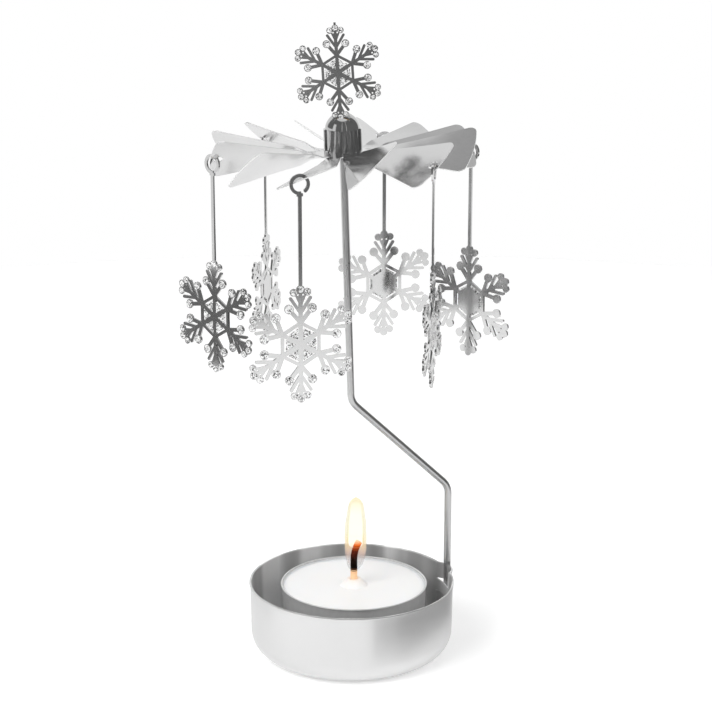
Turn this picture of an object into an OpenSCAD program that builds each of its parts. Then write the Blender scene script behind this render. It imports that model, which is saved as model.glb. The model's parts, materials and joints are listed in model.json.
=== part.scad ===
// Tealight carousel: a candle's warm air turns a bladed rotor that carries hanging snowflakes.
// Millimetres, +Z up. The origin is the centre of the cup's underside, and the front is -Y.

/* [Candle cup] */
// Outer radius of the rolled rim
rim_r = 27; // [25:0.1:32]
// Height of the cup, from its base to the top of the rim
cup_h = 19.2; // [18.8:0.1:24]
// Thickness of the drawn sheet
cup_wall = 0.4; // [0.3:0.05:0.6]
// Radius of the bead that the rim is rolled into
bead_r = 0.3; // [0.25:0.05:0.6]
// How much the wall narrows from the rim down to the base corner
cup_draft = 0.25; // [0:0.05:1]
// Outer radius of the base corner
cup_corner_r = 6; // [3:0.5:6.5]

/* [Wire loops in the cup wall] */
// Direction of the loops and of the wire's plane, in degrees from +X towards +Y
foot_azimuth = 20; // [0:1:60]
// Half of the angle that each pressed-out loop spans
loop_half_angle = 9; // [8:1:14]
// Height of the upper loop, measured down from the rim
upper_loop_h = 4.5; // [3:0.1:6]
// Height of the lower loop
lower_loop_h = 3; // [2:0.1:3.6]
// Lower edge of the lower loop above the base
lower_loop_z = 8; // [7:0.1:9]
// Width of the slits that free each loop
loop_slit = 0.3; // [0.2:0.05:0.5]
// Play of the wire's foot in its loops
foot_play = 0.06; // [0.03:0.01:0.1]

/* [Support wire] */
// Diameter of the wire
wire_d = 1.9; // [1.6:0.1:2.2]
// Width of the flattened foot
foot_w = 2.6; // [2.2:0.1:3.4]
// Thickness of the flattened foot
foot_t = 0.9; // [0.7:0.1:1.2]
// Lower end of the foot above the base
foot_end_z = 7; // [6.5:0.1:7.8]
// Height over which the round wire is flattened
pinch_h = 1.6; // [1:0.1:3]
// Height at which the upright leg and the slanting leg would cross
lower_bend_z = 42.1; // [38:0.1:48]
// Height at which the slanting leg and the upper leg would cross
upper_bend_z = 68.1; // [66:0.1:74]
// Place of the upper bend in the wire's plane, measured from the cup's axis
upper_bend_x = -0.1; // [-3:0.1:3]
// Radius of both bends, at the wire's middle
bend_r = 5; // [3:0.5:8]
// Lean of the upper leg away from the foot, in degrees
lean = 1.8; // [0:0.1:3]
// Length of the ground needle point
needle_h = 5; // [3:0.5:7]
// Radius that is left at the needle's tip
needle_tip_r = 0.12; // [0.05:0.01:0.2]

/* [Rotor] */
// Height of the middle of the rotor's sheet
sheet_z = 132.7; // [128:0.1:138]
// Tilt of the rotor on its needle, in degrees, in the wire's plane
rotor_tilt = 1.7; // [0:0.1:3]
// Thickness of the rotor's sheet
sheet_t = 0.3; // [0.2:0.05:0.4]
// Radius of the disc that the blades are cut from
rotor_r = 33.4; // [32:0.1:36]
// Number of blades, every second one with a hanging hole
blades = 12; // [12:2:12]
// Pitch of the blades, in degrees
pitch = 35; // [30:1:42]
// Direction of the first blade, in degrees from +X towards +Y
rotor_phase = 193; // [0:0.1:360]
// Width of the slit between two blades
slit_w = 0.6; // [0.3:0.1:1]
// Radius of the flat middle
flat_r = 6.8; // [6.4:0.1:8]
// Length of the neck that twists from the flat middle into the pitch
neck_h = 4.4; // [3:0.1:6]
// Radius of the blade corners
blade_corner_r = 2.2; // [1:0.1:3]
// Radius of the hole that a snowflake hangs in
hang_hole_r = 1.2; // [1.1:0.05:1.4]
// Width of sheet between that hole and the blade's end
hang_edge = 0.8; // [0.5:0.05:0.9]

/* [Hub] */
// Outer radius of the cap
cap_r = 4.4; // [4:0.1:5]
// Height of the cap's straight side above the rotor
cap_side_h = 5.7; // [4:0.1:8]
// Thickness of the cap's sheet
cap_wall = 0.35; // [0.25:0.05:0.5]
// Thickness of the sleeve round the cap
sleeve_t = 0.35; // [0.25:0.05:0.5]
// Height of the sleeve above the rotor
sleeve_h = 6; // [4:0.1:7]
// Width of the gaps between the sleeve's fingers
finger_gap = 1.7; // [0.8:0.1:2.4]
// Height of the closed ring below the gaps
sleeve_ring_h = 0.9; // [0.5:0.1:2]
// Number of fingers
fingers = 6; // [4:1:8]
// Direction of one of the gaps, in degrees from +X towards +Y
gap_azimuth = 271; // [0:1:360]
// Radius of the sleeve's flange under the rotor
flange_r = 6; // [5.4:0.1:6.4]
// Running play between the sleeve, the cap and the rotor
hub_play = 0.03; // [0.01:0.01:0.08]
// Radius of the pivot seat
seat_r = 1.6; // [1.3:0.1:1.9]
// Height of the pivot seat
seat_h = 2.4; // [2:0.1:3]
// Depth of the cone in the pivot seat
seat_cone_h = 1.4; // [1:0.1:1.6]
// Play between the needle's tip and the end of that cone
tip_play = 0.03; // [0.01:0.01:0.1]

/* [Snowflakes] */
// Radius of a hanging snowflake, from its middle to the end of a branch
flake_r = 14.6; // [12:0.1:15]
// Radius of the snowflake on top
finial_r = 11.77; // [9:0.1:14]
// Thickness of the snowflake sheet
flake_t = 0.5; // [0.4:0.05:0.6]
// Distance from the hook's middle down to the snowflake's middle
drop = 38.6; // [34:0.1:44]
// Width of the stem
stem_w = 0.9; // [0.7:0.1:1.2]
// Inner radius of the hook
hook_r = 1.7; // [1.65:0.01:1.75]
// Width of the hook's band
hook_w = 0.8; // [0.6:0.05:0.85]
// Gap of the open hook, in degrees
hook_gap = 30; // [15:1:45]
// Turn of a hanging snowflake's face from its blade's direction, in degrees
face_turn = 35; // [35:1:39]
// Distance of the finial's sheet in front of the cap's middle
finial_front = 2.6; // [2.2:0.1:2.8]
// How deep the finial's tip is let into the cap
finial_sink = 0.8; // [0.5:0.1:1]
// Sideways lean of the finial, in degrees
finial_lean = 2.1; // [0:0.1:4]
// Direction in which the finial's face looks, in degrees from +X towards +Y
finial_azimuth = 264; // [0:1:360]

/* [Tealight] */
// Outer radius of the tealight's rim
tealight_r = 19.3; // [18:0.1:19.6]
// Height of the tealight
tealight_h = 18.1; // [15:0.1:20]
// Offset of the tealight from the cup's axis, towards +X
tealight_x = 0.6; // [-1:0.1:1]
// Thickness of the foil cup
foil_t = 0.2; // [0.15:0.05:0.3]
// Radius of the foil cup's rolled rim
foil_bead_r = 0.25; // [0.15:0.05:0.4]
// How much the foil cup narrows towards its base
foil_draft = 0.5; // [0:0.1:1]
// Height of the rim above the wax
wax_below_rim = 0.8; // [0.3:0.1:3]
// Diameter of the wick
wick_d = 1.8; // [1:0.1:2]
// Height of the wick above the wax
wick_above_wax = 12; // [6:0.1:14]
// Height of the bent end of the wick
wick_bent_h = 5; // [3:0.1:6]
// Angle through which that end bends
wick_bend = 30; // [10:1:45]
// Radius of the plate that holds the wick
sustainer_r = 6; // [5:0.1:9]
// Height of that plate's neck
sustainer_neck_h = 4; // [2:0.1:6]
// Thickness of the plate and of its neck
sustainer_t = 0.3; // [0.2:0.05:0.5]
// Gap that separates the wax from the wick and its plate
wax_gap = 0.05; // [0.02:0.01:0.1]

/* [Hidden] */
$fn = 72;
// Extra length of every cut, so that it passes right through
overrun = 1;
// Where a bend of the wire meets a leg: how far the leg runs into it, and how much thinner the bend is
seam = 0.02;
seam_thinning = 0.01;

// Cup: the bead's inner side is flush with the wall's inner face
wall_top_r = rim_r - 2 * bead_r + cup_wall;
wall_foot_r = wall_top_r - cup_draft;
cup_floor_r = wall_foot_r - cup_corner_r;
// How deep the lower loop's ends sit below the wall's face, as a share of the sheet
loop_set_share = 0.1;

// Foot of the wire, which lies against the outside of the wall
foot_r = wall_top_r + foot_play + foot_t / 2;
pinch_z = cup_h + foot_play;

// Directions of the wire's legs, as angles from the vertical
slant = atan2(foot_r - upper_bend_x, upper_bend_z - lower_bend_z);
slant_len = norm([foot_r - upper_bend_x, upper_bend_z - lower_bend_z]);
lower_tangent = bend_r * tan(slant / 2);
upper_tangent = bend_r * tan((slant - lean) / 2);
wire_r = wire_d / 2;

// Hub heights, measured along the spin axis from the middle of the rotor's sheet
cap_centre_z = sheet_t / 2 + cap_side_h;
cap_inner_r = cap_r - cap_wall;
seat_top_z = cap_centre_z + cap_inner_r;
cone_top_z = seat_top_z - seat_h + seat_cone_h;
tip_z = cone_top_z - tip_play;
sleeve_r = cap_r + hub_play + sleeve_t;
rotor_bore_r = sleeve_r + hub_play;
// The needle's tip, which the rotor hangs on, in the wire's plane
pivot_z = sheet_z + tip_z * cos(rotor_tilt);
upper_leg_len = (pivot_z - upper_bend_z) / cos(lean);
pivot_x = upper_bend_x - upper_leg_len * sin(lean);

// Blades: half of a blade's angle, and the middle of the hanging hole
blade_half = 180 / blades;
hole_x = rotor_r - hang_edge - hang_hole_r;
neck_end_r = flat_r + neck_h;
// How each blade is bent by hand: its turn from an even spacing and its rise from the flat middle, in degrees
blade_turns = [0, 0, 1, 0, 0, 0, 0, 0, 0, -1, -2, 0];
blade_rises = [1.2, 0.4, -1, 4, 0.8, 3.6, -0.6, -3, -2.1, 0, 0.8, 3.2];
// Neck: where it starts in the flat middle, how far it runs into the blade, and how the twist thins it
neck_root_share = 0.85;
neck_root_r = neck_root_share * flat_r;
neck_lap = 0.06;
neck_t_share = 0.8;

// Middle of a hook, from the middle of its hole: outwards, along the rotation and up
hook_out_share = 1.125;
hook_along_share = -0.958;
hook_up_share = -1.083;

// Snowflake outline, as shares of its radius: along a branch, and to its side
bar_share = 0.07;
bar_end_share = 1.03;
ring_share = 0.36;
ring_bar_share = 0.055;
plate_slot_share = 0.055;
big_disc_at_share = 0.601;
big_disc_side_share = 0.1975;
big_disc_share = 0.08;
twig_w_share = 0.055;
twig_from_share = 0.52;
twig_at_share = 0.775;
twig_side_share = 0.168;
fan_from_share = 0.6;
tip_disc_at_share = 0.925;
tip_disc_share = 0.068;
side_disc_at_share = 0.875;
side_disc_side_share = 0.116;
side_disc_share = 0.064;
eye_at_share = 0.83;
eye_side_share = 0.044;
eye_share = 0.017;
finial_tip = (tip_disc_at_share + tip_disc_share) * finial_r;
// Shoulder at the stem's top and nib on the finial, as shares of the stem's width
shoulder_w_share = 1.7;
shoulder_h_share = 0.8;
nib_share = 0.6;

// Tealight
wax_z = cup_wall + tealight_h - wax_below_rim;
foil_top_r = tealight_r - 2 * foil_bead_r + foil_t;
foil_floor_z = cup_wall + foil_t;
wick_r = wick_d / 2;
wick_arc_r = wick_bent_h / sin(wick_bend);
wick_foot_z = foil_floor_z + sustainer_t + wax_gap;
// Wax that creeps up at the wick and at the foil
wax_cone_share = 0.15;
wax_creep_share = 0.5;

function polar(r, a) = [r * cos(a), r * sin(a)];
function blade_azimuth(i) = rotor_phase + i * 360 / blades + blade_turns[i];
// Width between the slits at a distance from the spin axis
function wedge_w(x) = 2 * x * tan(blade_half) - slit_w / cos(blade_half);
// Centre and outer radius of a loop's arc, which runs from the wall past the corner of the foot
function loop_arc(end) =
    let (
        start = polar(end, loop_half_angle),
        pass = [foot_r + foot_t / 2 + foot_play + cup_wall, foot_w / 2],
        centre = (start * start - pass * pass) / (2 * (start[0] - pass[0]))
    )
    [centre, norm([start[0] - centre, start[1]])];
// Outer radius of the cup's wall at a height
function wall_r(z) = wall_foot_r + cup_draft * (z - cup_corner_r) / (cup_h - cup_corner_r);

// Frames

module in_wire_plane() {
    rotate([0, 0, foot_azimuth]) children();
}

// The rotor's own frame: origin in the middle of its sheet, Z along the spin axis through the tip
module on_rotor() {
    in_wire_plane() translate([pivot_x, 0, pivot_z]) rotate([0, -rotor_tilt, 0])
        translate([0, 0, -tip_z]) rotate([0, 0, -foot_azimuth]) children();
}

// A blade's own frame on the rotor, turned to its direction and bent up where its neck starts
module on_blade(i) {
    rotate([0, 0, blade_azimuth(i)]) translate([neck_root_r, 0, 0]) rotate([0, -blade_rises[i], 0])
        translate([-neck_root_r, 0, 0]) children();
}

// Undoes the rotor's tilt, for what hangs straight down from it
module plumb() {
    rotate([0, 0, foot_azimuth]) rotate([0, rotor_tilt, 0]) rotate([0, 0, -foot_azimuth]) children();
}

// Candle cup

module cup_section(inset) {
    polygon([[0, inset], [cup_floor_r, inset], [cup_floor_r, cup_h], [0, cup_h]]);
    polygon([[0, cup_corner_r], [wall_foot_r - inset, cup_corner_r], [wall_top_r - inset, cup_h], [0, cup_h]]);
    translate([cup_floor_r, cup_corner_r]) circle(cup_corner_r - inset);
}

module rim_bead(r) {
    translate([r - bead_r, cup_h - bead_r]) circle(bead_r);
}

module cup_shell() {
    rotate_extrude() {
        difference() {
            cup_section(0);
            cup_section(cup_wall);
            translate([0, cup_h - bead_r]) square([rim_r - bead_r, cup_h]);
        }
        rim_bead(rim_r);
    }
}

// Wedge that frees a loop from the wall between two heights
module loop_window(low, high) {
    far = 2 * rim_r;
    translate([0, 0, low]) linear_extrude(high - low)
        polygon([[0, 0], polar(far, -loop_half_angle), polar(far, loop_half_angle)]);
}

// Band of wall pressed outwards into an arc over the wire's foot, run into the wall at both ends
module loop_band(low, high, end, beaded) {
    centre = loop_arc(end)[0];
    r = loop_arc(end)[1];
    half = asin(end * sin(loop_half_angle) / r) + 180 / PI * cup_wall / r;
    translate([centre, 0, 0]) rotate([0, 0, -half]) rotate_extrude(angle = 2 * half) {
        translate([r - cup_wall, low]) square([cup_wall, high - low]);
        if (beaded) rim_bead(r - cup_wall + 2 * bead_r);
    }
}

module candle_cup() {
    lower_end = wall_r(lower_loop_z) - loop_set_share * cup_wall;
    color("#c9c9cb") in_wire_plane() {
        difference() {
            cup_shell();
            loop_window(cup_h - upper_loop_h - loop_slit, cup_h + overrun);
            loop_window(lower_loop_z - loop_slit, lower_loop_z + lower_loop_h + loop_slit);
        }
        loop_band(cup_h - upper_loop_h, cup_h - bead_r, wall_top_r, true);
        loop_band(lower_loop_z, lower_loop_z + lower_loop_h, lower_end, false);
    }
}

// Support wire

module wire_leg(x, z, angle, length) {
    translate([x, 0, z]) rotate([0, -angle, 0]) translate([0, 0, -seam])
        cylinder(h = length + 2 * seam, r = wire_r);
}

module wire_bend(x, z, from, turn) {
    translate([x, 0, z]) rotate([90, 0, 0]) rotate([0, 0, from]) rotate_extrude(angle = turn)
        translate([bend_r, 0]) circle(wire_r - seam_thinning);
}

// Flattened foot, with shoulders that widen from the round wire
module foot_blade() {
    end_share = 0.3;
    chamfer = foot_w * end_share;
    translate([foot_r - foot_t / 2, 0, 0]) rotate([90, 0, 90]) linear_extrude(foot_t)
        polygon([
            [-wire_r, pinch_z + pinch_h], [-foot_w / 2, pinch_z + pinch_h / 2],
            [-foot_w / 2, foot_end_z + chamfer], [-foot_w / 2 + chamfer, foot_end_z],
            [foot_w / 2 - chamfer, foot_end_z], [foot_w / 2, foot_end_z + chamfer],
            [foot_w / 2, pinch_z + pinch_h / 2], [wire_r, pinch_z + pinch_h]
        ]);
}

// Round wire squeezed by two slanting faces down to the foot's thickness
module pinch() {
    intersection() {
        translate([foot_r, 0, pinch_z]) cylinder(h = pinch_h, r = wire_r);
        translate([foot_r, foot_w / 2, 0]) rotate([90, 0, 0]) linear_extrude(foot_w)
            polygon([
                [-foot_t / 2, pinch_z], [foot_t / 2, pinch_z],
                [wire_r, pinch_z + pinch_h], [-wire_r, pinch_z + pinch_h]
            ]);
    }
}

module needle() {
    leg = upper_leg_len - upper_tangent;
    translate([upper_bend_x, 0, upper_bend_z]) rotate([0, -lean, 0]) translate([0, 0, upper_tangent]) {
        translate([0, 0, -seam]) cylinder(h = leg - needle_h + seam, r = wire_r);
        translate([0, 0, leg - needle_h]) cylinder(h = needle_h, r1 = wire_r, r2 = needle_tip_r);
    }
}

module support_wire() {
    upright_top = lower_bend_z - lower_tangent;
    slant_x = foot_r - lower_tangent * sin(slant);
    slant_z = lower_bend_z + lower_tangent * cos(slant);
    end_x = upper_bend_x + upper_tangent * sin(slant);
    end_z = upper_bend_z - upper_tangent * cos(slant);
    color("#8e8e90") in_wire_plane() {
        foot_blade();
        pinch();
        wire_leg(foot_r, pinch_z + pinch_h, 0, upright_top - pinch_z - pinch_h);
        wire_bend(foot_r - bend_r, upright_top, 0, slant);
        wire_leg(slant_x, slant_z, slant, slant_len - lower_tangent - upper_tangent);
        wire_bend(end_x + bend_r * cos(slant), end_z + bend_r * sin(slant), 180 + lean, slant - lean);
        needle();
    }
}

// Rotor

// Outline of one blade along +X, with its apex on the spin axis
module blade_outline(hanging) {
    corner_angle = asin(blade_corner_r / (rotor_r - blade_corner_r));
    tangent_r = sqrt(pow(rotor_r - blade_corner_r, 2) - pow(blade_corner_r, 2));
    far = 2 * rotor_r;
    centres = [for (side = [-1, 1]) polar(rotor_r - blade_corner_r, side * (blade_half - corner_angle))];
    difference() {
        union() {
            intersection() {
                circle(rotor_r);
                polygon([[0, 0], polar(far, corner_angle - blade_half), polar(far, blade_half - corner_angle)]);
            }
            for (centre = centres) translate(centre) circle(blade_corner_r);
            polygon([
                [0, 0], polar(tangent_r, -blade_half), centres[0],
                centres[1], polar(tangent_r, blade_half)
            ]);
        }
        // Half of the slit on each side, and all that lies inside the neck
        for (side = [-1, 1]) rotate(side * blade_half) translate([0, -slit_w / 2]) square([far, slit_w]);
        translate([-neck_end_r, -neck_end_r]) square(2 * neck_end_r);
        if (hanging) translate([hole_x, 0]) circle(hang_hole_r);
    }
}

// Strip that twists from the flat middle into the blade's pitch
module blade_neck() {
    end_r = neck_end_r + neck_lap;
    root_w = wedge_w(neck_root_r) - 2 * neck_lap;
    end_w = wedge_w(end_r) - 2 * neck_lap;
    translate([neck_root_r, 0, 0]) rotate([90, 0, 90])
        linear_extrude(end_r - neck_root_r, twist = -pitch, scale = [end_w / root_w, 1], slices = 8, $fn = 4)
            square([root_w, neck_t_share * sheet_t], center = true);
}

module rotor() {
    color("#d8d8da") on_rotor() {
        difference() {
            cylinder(h = sheet_t, r = flat_r, center = true);
            cylinder(h = sheet_t + overrun, r = rotor_bore_r, center = true);
        }
        for (i = [0 : blades - 1]) on_blade(i) {
            blade_neck();
            rotate([pitch, 0, 0]) translate([0, 0, -sheet_t / 2]) linear_extrude(sheet_t)
                blade_outline(i % 2 == 0);
        }
    }
}

// Hub

// Eyelet that grips the cap with its fingers and holds the rotor on its flange
module hub_sleeve() {
    low = -sheet_t / 2 - hub_play;
    color("#6c6c70") on_rotor() {
        difference() {
            translate([0, 0, low - sleeve_t]) cylinder(h = sleeve_h + sheet_t / 2 + sleeve_t - low, r = sleeve_r);
            translate([0, 0, low]) cylinder(h = 2 * sleeve_h, r = cap_r + hub_play);
            translate([0, 0, low - sleeve_t - overrun]) cylinder(h = sleeve_h, r = cap_inner_r);
            for (i = [0 : fingers - 1]) rotate([0, 0, gap_azimuth + i * 360 / fingers])
                translate([0, -finger_gap / 2, sheet_t / 2 + sleeve_ring_h])
                    cube([2 * cap_r, finger_gap, 2 * sleeve_h]);
        }
        translate([0, 0, low - sleeve_t]) difference() {
            cylinder(h = sleeve_t, r = flange_r);
            translate([0, 0, -overrun]) cylinder(h = sleeve_t + 2 * overrun, r = cap_r + hub_play);
        }
    }
}

module finial_slot() {
    slot_w = 2 * (side_disc_side_share + side_disc_share) * finial_r + 4 * hub_play;
    slot_t = flake_t + 4 * hub_play;
    rotate([0, 0, finial_azimuth - 270]) translate([-slot_w / 2, -finial_front - slot_t / 2, cap_centre_z])
        cube([slot_w, slot_t, 2 * cap_r]);
}

module hub_cap() {
    low = -sheet_t / 2;
    color("#5a5a5e") on_rotor() difference() {
        union() {
            translate([0, 0, low]) cylinder(h = cap_centre_z - low, r = cap_r);
            translate([0, 0, cap_centre_z]) sphere(cap_r);
        }
        translate([0, 0, low - overrun]) cylinder(h = cap_centre_z - low + overrun, r = cap_inner_r);
        translate([0, 0, cap_centre_z]) sphere(cap_inner_r);
        finial_slot();
    }
}

// Turned seat in the cap's crown, with a cone for the needle's tip
module pivot_seat() {
    cone_mouth_r = wire_r * seat_cone_h / needle_h * 2 + needle_tip_r;
    color("#b08d4c") on_rotor() difference() {
        intersection() {
            translate([0, 0, seat_top_z - seat_h]) cylinder(h = seat_h, r = seat_r);
            translate([0, 0, cap_centre_z]) sphere(cap_inner_r);
        }
        translate([0, 0, seat_top_z - seat_h]) cylinder(h = seat_cone_h, r1 = cone_mouth_r, r2 = needle_tip_r);
    }
}

// Snowflakes

// Straight bar between two points, with round ends a trace wider, so that they cross its sides cleanly
module bar(from, to, w) {
    along = to - from;
    translate(from) rotate(atan2(along[1], along[0])) translate([0, -w / 2]) square([norm(along), w]);
    for (end = [from, to]) translate(end) circle(bar_end_share * w / 2);
}

module hexagon(r) {
    rotate(90) circle(r, $fn = 6);
}

// One branch along +Y: side branches, discs and the fan at its end
module branch(r) {
    w = bar_share * r;
    bar([0, 0], [0, tip_disc_at_share * r], w);
    translate([0, tip_disc_at_share * r]) circle(tip_disc_share * r);
    polygon([
        [0, fan_from_share * r],
        [side_disc_side_share * r, side_disc_at_share * r], [0, tip_disc_at_share * r],
        [-side_disc_side_share * r, side_disc_at_share * r]
    ]);
    for (side = [-1, 1]) {
        bar([0, ring_share * r], [side * big_disc_side_share * r, big_disc_at_share * r], w);
        translate([side * big_disc_side_share * r, big_disc_at_share * r]) circle(big_disc_share * r);
        bar([0, twig_from_share * r], [side * twig_side_share * r, twig_at_share * r], twig_w_share * r);
        translate([side * side_disc_side_share * r, side_disc_at_share * r]) circle(side_disc_share * r);
    }
}

module snowflake_outline(r) {
    half_bar = ring_bar_share * r / 2 / cos(30);
    slot_r = ring_share * r - half_bar;
    difference() {
        hexagon(ring_share * r + half_bar);
        difference() {
            hexagon(slot_r);
            hexagon(slot_r - plate_slot_share * r / cos(30));
        }
    }
    for (i = [0 : 5]) rotate(60 * i) difference() {
        branch(r);
        for (side = [-1, 1]) translate([side * eye_side_share * r, eye_at_share * r]) circle(eye_share * r);
    }
}

// Open hook round the origin, joined to a stem that runs down to the snowflake
module hook_and_stem() {
    outer = hook_r + hook_w;
    mid = hook_r + hook_w / 2;
    open_from = -80;
    difference() {
        circle(outer);
        circle(hook_r);
        polygon([[0, 0], polar(2 * outer, open_from), polar(2 * outer, open_from + hook_gap)]);
    }
    translate(polar(mid, open_from + hook_gap)) circle(hook_w / 2);
    translate([-stem_w / 2, tip_disc_at_share * flake_r - drop])
        square([stem_w, drop - tip_disc_at_share * flake_r - mid]);
    translate([-shoulder_w_share * stem_w / 2, -outer - shoulder_h_share * stem_w / 2])
        square([shoulder_w_share * stem_w, shoulder_h_share * stem_w]);
}

module hanging_snowflake(i) {
    // The hook's middle stands off the hanging hole by shares of the hole's radius
    hook_at = [
        hole_x + hook_out_share * hang_hole_r,
        hook_along_share * hang_hole_r,
        hook_up_share * hang_hole_r
    ];
    azimuth = blade_azimuth(2 * i);
    color("#c4c4c8") on_rotor() on_blade(2 * i) translate(hook_at) rotate([0, blade_rises[2 * i], 0])
        rotate([0, 0, -azimuth]) plumb() rotate([0, 0, azimuth + face_turn + 90]) rotate([90, 0, 0])
            translate([0, 0, -flake_t / 2]) linear_extrude(flake_t) {
                hook_and_stem();
                translate([0, -drop]) snowflake_outline(flake_r);
            }
}

module finial_snowflake() {
    surface_z = cap_centre_z + sqrt(cap_r * cap_r - finial_front * finial_front);
    nib = nib_share * stem_w;
    color("#77777b") on_rotor() rotate([0, 0, finial_azimuth - 270])
        translate([0, -finial_front, surface_z - finial_sink]) rotate([0, -finial_lean, 0])
            translate([0, flake_t / 2, finial_tip]) rotate([90, 0, 0]) linear_extrude(flake_t) {
                snowflake_outline(finial_r);
                translate([-nib / 2, finial_tip - nib]) square([nib, 2 * nib]);
            }
}

// Tealight

module foil_section(inset) {
    foot = foil_top_r - foil_draft;
    polygon([[0, inset], [foot - inset, inset], [foil_top_r - inset, tealight_h], [0, tealight_h]]);
}

module tealight_cup() {
    color("#cfcfd2") translate([tealight_x, 0, cup_wall]) rotate_extrude() {
        difference() {
            foil_section(0);
            foil_section(foil_t);
            translate([0, tealight_h - foil_bead_r]) square([tealight_r - foil_bead_r, tealight_h]);
        }
        translate([tealight_r - foil_bead_r, tealight_h - foil_bead_r]) circle(foil_bead_r);
    }
}

module tealight_wax() {
    wax_h = wax_z - foil_floor_z;
    base_r = foil_top_r - foil_draft - foil_t;
    top_r = base_r + foil_draft * wax_h / tealight_h;
    cone_h = wax_cone_share * wick_above_wax;
    creep = wax_creep_share * wax_below_rim;
    color("#f4f2ee") translate([tealight_x, 0, foil_floor_z]) difference() {
        rotate_extrude() polygon([
            [0, 0], [base_r, 0], [top_r, wax_h + creep], [top_r - creep, wax_h],
            [wick_d + cone_h, wax_h], [wick_d, wax_h + cone_h], [0, wax_h + cone_h]
        ]);
        translate([0, 0, -overrun]) cylinder(h = 2 * wax_h, r = wick_r + wax_gap);
        translate([0, 0, -overrun]) cylinder(h = overrun + sustainer_t + wax_gap, r = sustainer_r + wax_gap);
        cylinder(h = sustainer_neck_h + wax_gap, r = wick_r + 2 * wax_gap + sustainer_t);
    }
}

module wick_sustainer() {
    color("#b9b9bd") translate([tealight_x, 0, foil_floor_z]) difference() {
        union() {
            cylinder(h = sustainer_t, r = sustainer_r);
            cylinder(h = sustainer_neck_h, r = wick_r + wax_gap + sustainer_t);
        }
        translate([0, 0, sustainer_t]) cylinder(h = sustainer_neck_h, r = wick_r + wax_gap);
    }
}

module tealight_wick() {
    straight = wax_z + wick_above_wax - wick_bent_h - wick_foot_z;
    color("#2a2624") translate([tealight_x, 0, wick_foot_z]) {
        cylinder(h = straight + seam, r = wick_r);
        translate([wick_arc_r, 0, straight]) rotate([90, 0, 0]) rotate([0, 0, 180 - wick_bend])
            rotate_extrude(angle = wick_bend) translate([wick_arc_r, 0]) circle(wick_r - seam_thinning);
    }
}

candle_cup();
support_wire();
rotor();
hub_sleeve();
hub_cap();
pivot_seat();
finial_snowflake();
hanging_snowflake(0);  // snowflake_1
hanging_snowflake(1);  // snowflake_2
hanging_snowflake(2);  // snowflake_3
hanging_snowflake(3);  // snowflake_4
hanging_snowflake(4);  // snowflake_5
hanging_snowflake(5);  // snowflake_6
tealight_cup();
tealight_wax();
wick_sustainer();
tealight_wick();
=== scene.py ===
import math
import random

import bpy
from mathutils import Matrix, Vector, geometry, noise
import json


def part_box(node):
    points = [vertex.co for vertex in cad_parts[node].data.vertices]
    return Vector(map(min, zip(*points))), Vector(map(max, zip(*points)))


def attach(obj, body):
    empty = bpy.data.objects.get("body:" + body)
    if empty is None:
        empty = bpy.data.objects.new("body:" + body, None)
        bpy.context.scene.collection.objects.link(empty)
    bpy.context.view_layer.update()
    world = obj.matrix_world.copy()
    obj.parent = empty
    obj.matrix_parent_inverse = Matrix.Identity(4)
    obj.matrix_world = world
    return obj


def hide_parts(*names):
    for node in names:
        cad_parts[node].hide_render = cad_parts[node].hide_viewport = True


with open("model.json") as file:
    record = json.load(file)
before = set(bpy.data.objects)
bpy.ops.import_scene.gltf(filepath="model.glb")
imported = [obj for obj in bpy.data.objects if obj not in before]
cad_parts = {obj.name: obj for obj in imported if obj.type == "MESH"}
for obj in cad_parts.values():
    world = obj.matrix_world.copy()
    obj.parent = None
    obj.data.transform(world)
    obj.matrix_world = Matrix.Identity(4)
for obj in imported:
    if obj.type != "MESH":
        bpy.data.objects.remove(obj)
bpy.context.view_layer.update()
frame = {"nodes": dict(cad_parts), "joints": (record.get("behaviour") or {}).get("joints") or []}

# Candle cup
# A shallow cup deep-drawn from thin tinned steel, with its rim rolled into a bead. Outside it keeps the
# satin of the drawing die, inside it is bright. Two bands of its wall are pressed out over the wire's foot.
MM = 0.001


def linear(code):
    parts = [int(code[i : i + 2], 16) / 255 for i in (1, 3, 5)]
    return [p / 12.92 if p <= 0.04045 else ((p + 0.055) / 1.055) ** 2.4 for p in parts] + [1.0]


def add(tree, kind, inputs=None, **settings):
    """A node with its settings, whose inputs are set to values or linked to other nodes' outputs."""
    node = tree.nodes.new(kind)
    for name, value in settings.items():
        setattr(node, name, value)
    for name, value in (inputs or {}).items():
        if isinstance(value, bpy.types.NodeSocket):
            tree.links.new(value, node.inputs[name])
        else:
            node.inputs[name].default_value = value
    return node


def new_material(name):
    material = bpy.data.materials.new(name)
    material.use_nodes = True
    material.node_tree.nodes.clear()
    return material, material.node_tree


def coat_with(node_name, material):
    slots = frame["nodes"][node_name].data.materials
    slots.clear()
    slots.append(material)


def ramp_stops(node, stops):
    """Stops of a colour ramp, each a place and either a colour's code or a plain level."""
    ramp = node.color_ramp
    while len(ramp.elements) > 1:
        ramp.elements.remove(ramp.elements[-1])
    ramp.elements[0].position = stops[0][0]
    for k, (place, tone) in enumerate(stops):
        stop = ramp.elements.new(place) if k else ramp.elements[0]
        stop.color = linear(tone) if isinstance(tone, str) else (tone, tone, tone, 1.0)
    return node.outputs["Color"]


# Satin tinplate outside, bright tinplate inside: the eye sees a soft grey sweep and a sharper dark bowl
tinplate, tree = new_material("tinplate_drawn_satin_and_bright")
place = add(tree, "ShaderNodeTexCoord").outputs["Object"]
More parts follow.
